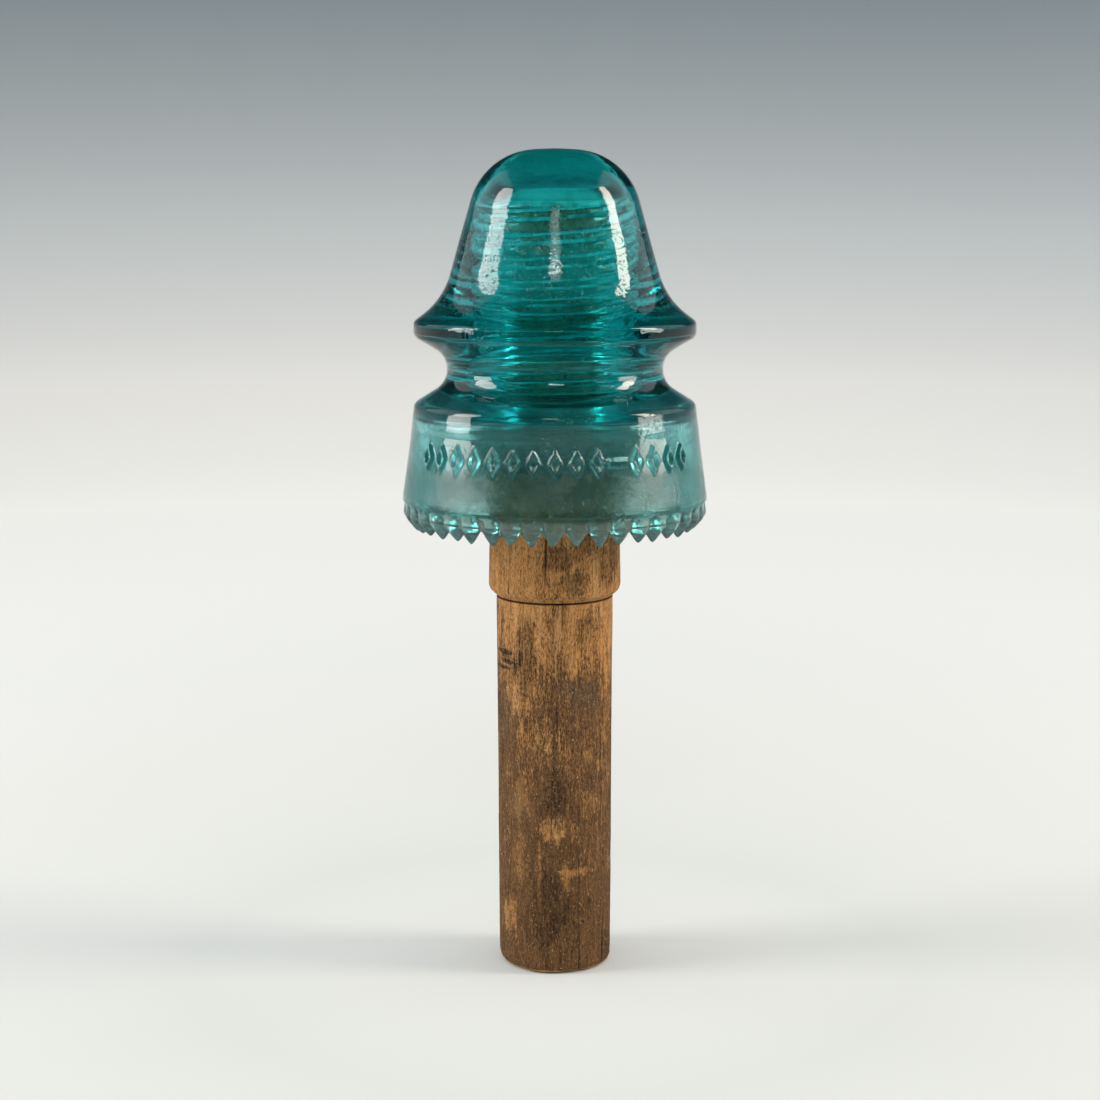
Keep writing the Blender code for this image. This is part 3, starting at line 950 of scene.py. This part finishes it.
def weathered_wood():
    """Dry turned wood: tan at the collar, with a dark patina and worn spots down the shank, and
    some painted light and shade.
    """
    g = Graph("weathered_wood")
    shader = g.shader.inputs
    z = g.xyz()[2]
    fibres, strands, flecks = g.noise(**FIBRES), g.noise(**STRANDS), g.noise(**FLECKS)
    blotches = g.noise(**BLOTCHES)
    grain = g.total(g.product(fibres, FIBRE_SHARE), g.product(strands, 1 - FIBRE_SHARE))
    ragged = g.product(g.about(g.total(flecks, strands), 2 * NOISE_MIDDLE), SCUFF_RAGGED)
    clouded = g.product(g.about(g.total(flecks, blotches), 2 * NOISE_MIDDLE), STAIN_AND_SHADE_RAGGED)

    colour = g.mix(g.remap(grain, *TAN_RAMP), WOOD_BROWN, WOOD_TAN)
    colour = g.mix(g.remap(g.noise(**BANDS), *BAND_RAMP), colour, WOOD_PALE)

    # The patina starts a little below the collar, thickens towards the foot, and is worn off. Its
    # thin cover
    #     # on the upper shank keeps that part light, as painted light.
    cover = g.total(
        g.remap(z, *PATINA_START_AND_PAINTED_LIGHT),
        g.remap(z, *PATINA_FOOT),
        g.product(g.about(blotches, NOISE_MIDDLE), PATINA_BLOTCHES),
        g.product(g.about(flecks, NOISE_MIDDLE), PATINA_FLECKS),
        g.product(g.about(grain, NOISE_MIDDLE), PATINA_GRAIN),
    )
    worn = g.product(marks(g, SCUFFS, ragged), SCUFF_STRENGTH)
    patina = g.product(g.remap(cover, *PATINA_RAMP), g.math("SUBTRACT", 1.0, worn))
    dark = g.mix(g.remap(grain, *DARK_RAMP), WOOD_DARK, WOOD_BROWN)
    colour = g.mix(g.product(patina, PATINA_STRENGTH), colour, dark)

    # Damp blotches and the stain ovals, with their painted shade on the collar, darken the wood
    # towards black.
    damp = g.remap(g.total(blotches, g.product(flecks, DAMP_FLECKS)), *DAMP_RAMP)
    damp = g.product(damp, DAMP_STRENGTH)
    stained_and_shaded = g.math("MAXIMUM", marks(g, STAINS_AND_PAINTED_SHADE, clouded), damp)
    stained_and_shaded = g.product(stained_and_shaded, g.remap(grain, *STAIN_AND_SHADE_RAMP))
    colour = g.mix(stained_and_shaded, colour, WOOD_BLACK)
    knot = marks(g, KNOT_MARKS, g.product(ragged, KNOT_RAGGED))
    colour = g.mix(g.product(knot, KNOT_STRENGTH), colour, WOOD_BLACK)
    grey = g.product(g.remap(g.noise(**GREYING), *GREY_RAMP), g.remap(z, *GREY_HEIGHTS))
    colour = g.mix(grey, colour, WOOD_GREY)

    pores = g.remap(g.noise(**PORES), *PORE_RAMP)
    colour = g.mix(pores, colour, WOOD_BLACK)
    colour = g.mix(g.remap(g.noise(**GLINTS), *GLINT_RAMP), colour, WOOD_PALE)
    cracks = g.remap(g.noise(**CRACKS), *CRACK_RAMP)
    colour = g.mix(g.product(cracks, CRACK_STRENGTH), colour, WOOD_BLACK)
    colour = g.mix(g.remap(g.noise(**SPECKS), *SPECK_RAMP), colour, WOOD_SPECK)
    foot = g.remap(g.total(z, g.product(flecks, FOOT_RAGGED)), *FOOT_WORN)
    colour = g.mix(g.product(foot, FOOT_STRENGTH), colour, WOOD_PALE)
    # The scribed groove is painted nearly black, as painted shade in the crease.
    scribe_shade = g.remap(g.math("ABSOLUTE", g.about(z, SHANK_LENGTH)), *SCRIBE_SHADE_RAMP)
    colour = g.mix(g.product(scribe_shade, SCRIBE_SHADE_STRENGTH), colour, WOOD_BLACK)

    g.put(shader["Base Color"], colour)
    g.put(shader["Roughness"], g.remap(grain, *ROUGHNESS_RAMP))
    shader["Specular IOR Level"].default_value = WOOD_SPECULAR
    relief = g.total(
        grain,
        g.product(cracks, -CRACK_RELIEF),
        g.product(flecks, FLECK_RELIEF),
        g.product(knot, -KNOT_RELIEF),
        g.product(pores, -PORE_RELIEF),
    )
    g.put(shader["Normal"], g.bump(relief, WOOD_RELIEF))
    return g.material


# ---- Stage ---------------------------------------------------------------------------------------

FLOOR_RADIUS = 0.9
SWEEP_RADIUS = 0.8
SWEEP_HEIGHT = 1.4
SWEEP_STEPS = 24
STAGE_RADIUS = FLOOR_RADIUS + SWEEP_RADIUS
STAGE_SEGMENTS = 96
STAGE_DROP = 0.1 * MM
FLOOR_RINGS = (0, 0.1, 0.2, 0.3, 0.5, 0.7)
MIRRORED_FROM = -0.25

# The paper's colour at distances from the object, with light and shade painted in: lighter right
# under the object as a painted pool of light against its shadow, pale on the floor, and dark high
# on the wall as painted fall-off of the light.
PAPER_AND_PAINTED_LIGHT_COLOURS = [
    # A painted pool of light under the object, against its shadow.
    (0.00, (0.66, 0.68, 0.66)),
    (0.10, (0.55, 0.57, 0.55)),
    (0.25, (0.60, 0.61, 0.59)),
    (0.41, (0.655, 0.67, 0.65)),
    (0.60, (0.745, 0.755, 0.73)),
    (0.81, (0.83, 0.835, 0.81)),
    (0.93, (0.88, 0.885, 0.84)),
    # From here up, the wall darkens as painted shade, where the light falls off.
    (1.20, (0.795, 0.785, 0.755)),
    (1.40, (0.545, 0.575, 0.575)),
    (1.59, (0.25, 0.29, 0.31)),
    (1.68, (0.035, 0.042, 0.049)),
]


def pale_stage():
    """The backdrop's paper: pale on the floor, then blue-grey and dark up the sweep as painted
    shade, with a painted pool of light under the object.
    """
    g = Graph("stage_paper")
    ramp = g.new("ShaderNodeValToRGB")
    elements = ramp.color_ramp.elements
    while len(elements) < len(PAPER_AND_PAINTED_LIGHT_COLOURS):
        elements.new(0.5)
    for element, (radius, colour) in zip(elements, PAPER_AND_PAINTED_LIGHT_COLOURS):
        element.position = radius / STAGE_RADIUS
        element.color = (*colour, 1)
    g.put(ramp.inputs[0], g.math("DIVIDE", g.from_axis(), STAGE_RADIUS))
    g.put(g.shader.inputs["Base Color"], ramp.outputs[0])
    g.shader.inputs["Roughness"].default_value = 1.0
    g.shader.inputs["Specular IOR Level"].default_value = 0.0
    return g.material


def stage_outline():
    outline = [(r, 0) for r in FLOOR_RINGS]
    for i in range(SWEEP_STEPS + 1):
        a = math.pi / 2 * i / SWEEP_STEPS
        radius = FLOOR_RADIUS + SWEEP_RADIUS * math.sin(a)
        outline.append((radius, SWEEP_RADIUS * (1 - math.cos(a))))
    return outline + [(STAGE_RADIUS, SWEEP_HEIGHT)]


def back_half(stage):
    """A copy of the stage without its front, for glass and wood to mirror."""
    mirrored = stage.copy()
    mirrored.name = "stage_mirrored"
    mirrored.data = stage.data.copy()
    bpy.context.scene.collection.objects.link(mirrored)
    half = bmesh.new()
    half.from_mesh(mirrored.data)
    front = [f for f in half.faces if f.calc_center_median().y < MIRRORED_FROM]
    bmesh.ops.delete(half, geom=front, context="FACES")
    half.to_mesh(mirrored.data)
    half.free()
    return mirrored


def stage_sweep():
    """A floor that turns up into a round wall, so that every side has the same backdrop."""
    axis, around = angles(1), angles(STAGE_SEGMENTS)
    rings = [ring(r, z - STAGE_DROP, around if r > 0 else axis) for r, z in stage_outline()]
    stage = skin("stage_sweep", rings, pale_stage())
    stage.data.flip_normals()
    # Glass and wood mirror only the stage behind them, as in a studio that is dark in front.
    mirrored = back_half(stage)
    stage.visible_glossy = False
    mirrored.visible_camera = False
    mirrored.visible_diffuse = False
    mirrored.visible_transmission = False
    mirrored.visible_shadow = False


# ---- Light and camera ----------------------------------------------------------------------------

PANEL_SPREAD = math.radians(135)
WHITE = (1.0, 1.0, 1.0)
SOFT_WHITE = (1.0, 0.96, 0.94)
WARM_WHITE = (1.0, 0.88, 0.76)
LOW_WARM_WHITE = (1.0, 0.94, 0.85)
COOL_WHITE = (0.95, 1.0, 1.0)

# Panels of light that face the object: name, azimuth in degrees (0 in front, 90 to the right),
# distance, foot, top and width in metres, power in watts, colour, shape, and the angle between
# its beam and straight down in degrees, so that 90 stands upright.
PANELS = [
    ("left_softbox", -81.5, 0.9, 0.30, 1.0, 0.42, 4.1, SOFT_WHITE, "ELLIPSE", 90),
    ("left_low_softbox", -81.5, 0.9, 0.15, 0.36, 0.40, 1.0, SOFT_WHITE, "RECTANGLE", 90),
    ("right_softbox", 85.0, 0.9, 0.40, 1.0, 0.24, 4.2, WARM_WHITE, "RECTANGLE", 90),
    ("right_low_softbox", 82.0, 0.9, 0.15, 0.40, 0.40, 1.15, LOW_WARM_WHITE, "RECTANGLE", 90),
    ("left_wall", -108.0, 1.25, 0.40, 1.6, 1.2, 2.5, WHITE, "RECTANGLE", 90),
    ("right_wall", 108.0, 1.25, 0.40, 1.6, 1.2, 2.5, WHITE, "RECTANGLE", 90),
    ("front_softbox", 0.0, 0.85, 0.565, 0.655, 0.26, 0.36, COOL_WHITE, "ELLIPSE", 60),
    ("front_strip", 0.0, 0.85, 0.655, 0.72, 0.16, 0.05, COOL_WHITE, "RECTANGLE", 60),
]
TOP_LIGHT_WIDTH = 3.0
TOP_LIGHT_HEIGHT = 3.5
TOP_LIGHT_POWER = 45.0
ROOM_COLOUR = (0.85, 0.86, 0.87, 1)

CAMERA_DISTANCE = 0.598
CAMERA_HEIGHT = 0.2116
CAMERA_PITCH = math.radians(9.17)
CAMERA_LENS = 72.87
CAMERA_SENSOR = 36.0
CAMERA_SIDE = -0.0013

GLASS_BOUNCES = 24
GLOSSY_BOUNCES = 8


def area_light(name, width, height, power, colour=WHITE, shape="RECTANGLE"):
    light = bpy.data.lights.new(name, "AREA")
    light.shape = shape
    light.size = width
    light.size_y = height
    light.energy = power
    light.color = colour
    light.spread = PANEL_SPREAD
    obj = bpy.data.objects.new(name, light)
    obj.visible_camera = False
    bpy.context.scene.collection.objects.link(obj)
    return obj


def studio_light():
    for name, azimuth, distance, foot, top, width, power, colour, shape, tilt in PANELS:
        panel = area_light(name, width, top - foot, power, colour, shape)
        a = math.radians(azimuth)
        panel.location = (distance * math.sin(a), -distance * math.cos(a), (foot + top) / 2)
        panel.rotation_euler = (math.radians(tilt), 0, a)
    ceiling = area_light("top_light", TOP_LIGHT_WIDTH, TOP_LIGHT_WIDTH, TOP_LIGHT_POWER)
    ceiling.location = (0, 0, TOP_LIGHT_HEIGHT)
    ceiling.data.spread = math.pi
    ceiling.visible_glossy = False
    ceiling.visible_transmission = False
    world = bpy.data.worlds.new("studio")
    bpy.context.scene.world = world
    world.use_nodes = True
    world.node_tree.nodes["Background"].inputs["Color"].default_value = ROOM_COLOUR
    world.cycles_visibility.glossy = False
    world.cycles_visibility.transmission = False


def make_camera():
    data = bpy.data.cameras.new("camera")
    data.sensor_width = CAMERA_SENSOR
    data.lens = CAMERA_LENS
    camera = bpy.data.objects.new("camera", data)
    camera.location = (CAMERA_SIDE, -CAMERA_DISTANCE, CAMERA_HEIGHT)
    camera.rotation_euler = (math.pi / 2 - CAMERA_PITCH, 0, 0)
    bpy.context.scene.collection.objects.link(camera)
    bpy.context.scene.camera = camera


def colour_and_bounces():
    scene = bpy.context.scene
    scene.view_settings.view_transform = "Standard"
    scene.view_settings.look = "None"
    scene.cycles.max_bounces = GLASS_BOUNCES
    scene.cycles.transmission_bounces = GLASS_BOUNCES
    scene.cycles.glossy_bounces = GLOSSY_BOUNCES
    scene.cycles.use_denoising = True


make_camera()
stage_sweep()
studio_light()
colour_and_bounces()

glass = glass_piece(teal_glass())
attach(glass, "insulator")
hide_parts("glass_insulator")

pin = pin_piece(weathered_wood())
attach(pin, "pin")
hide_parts("wooden_pin")
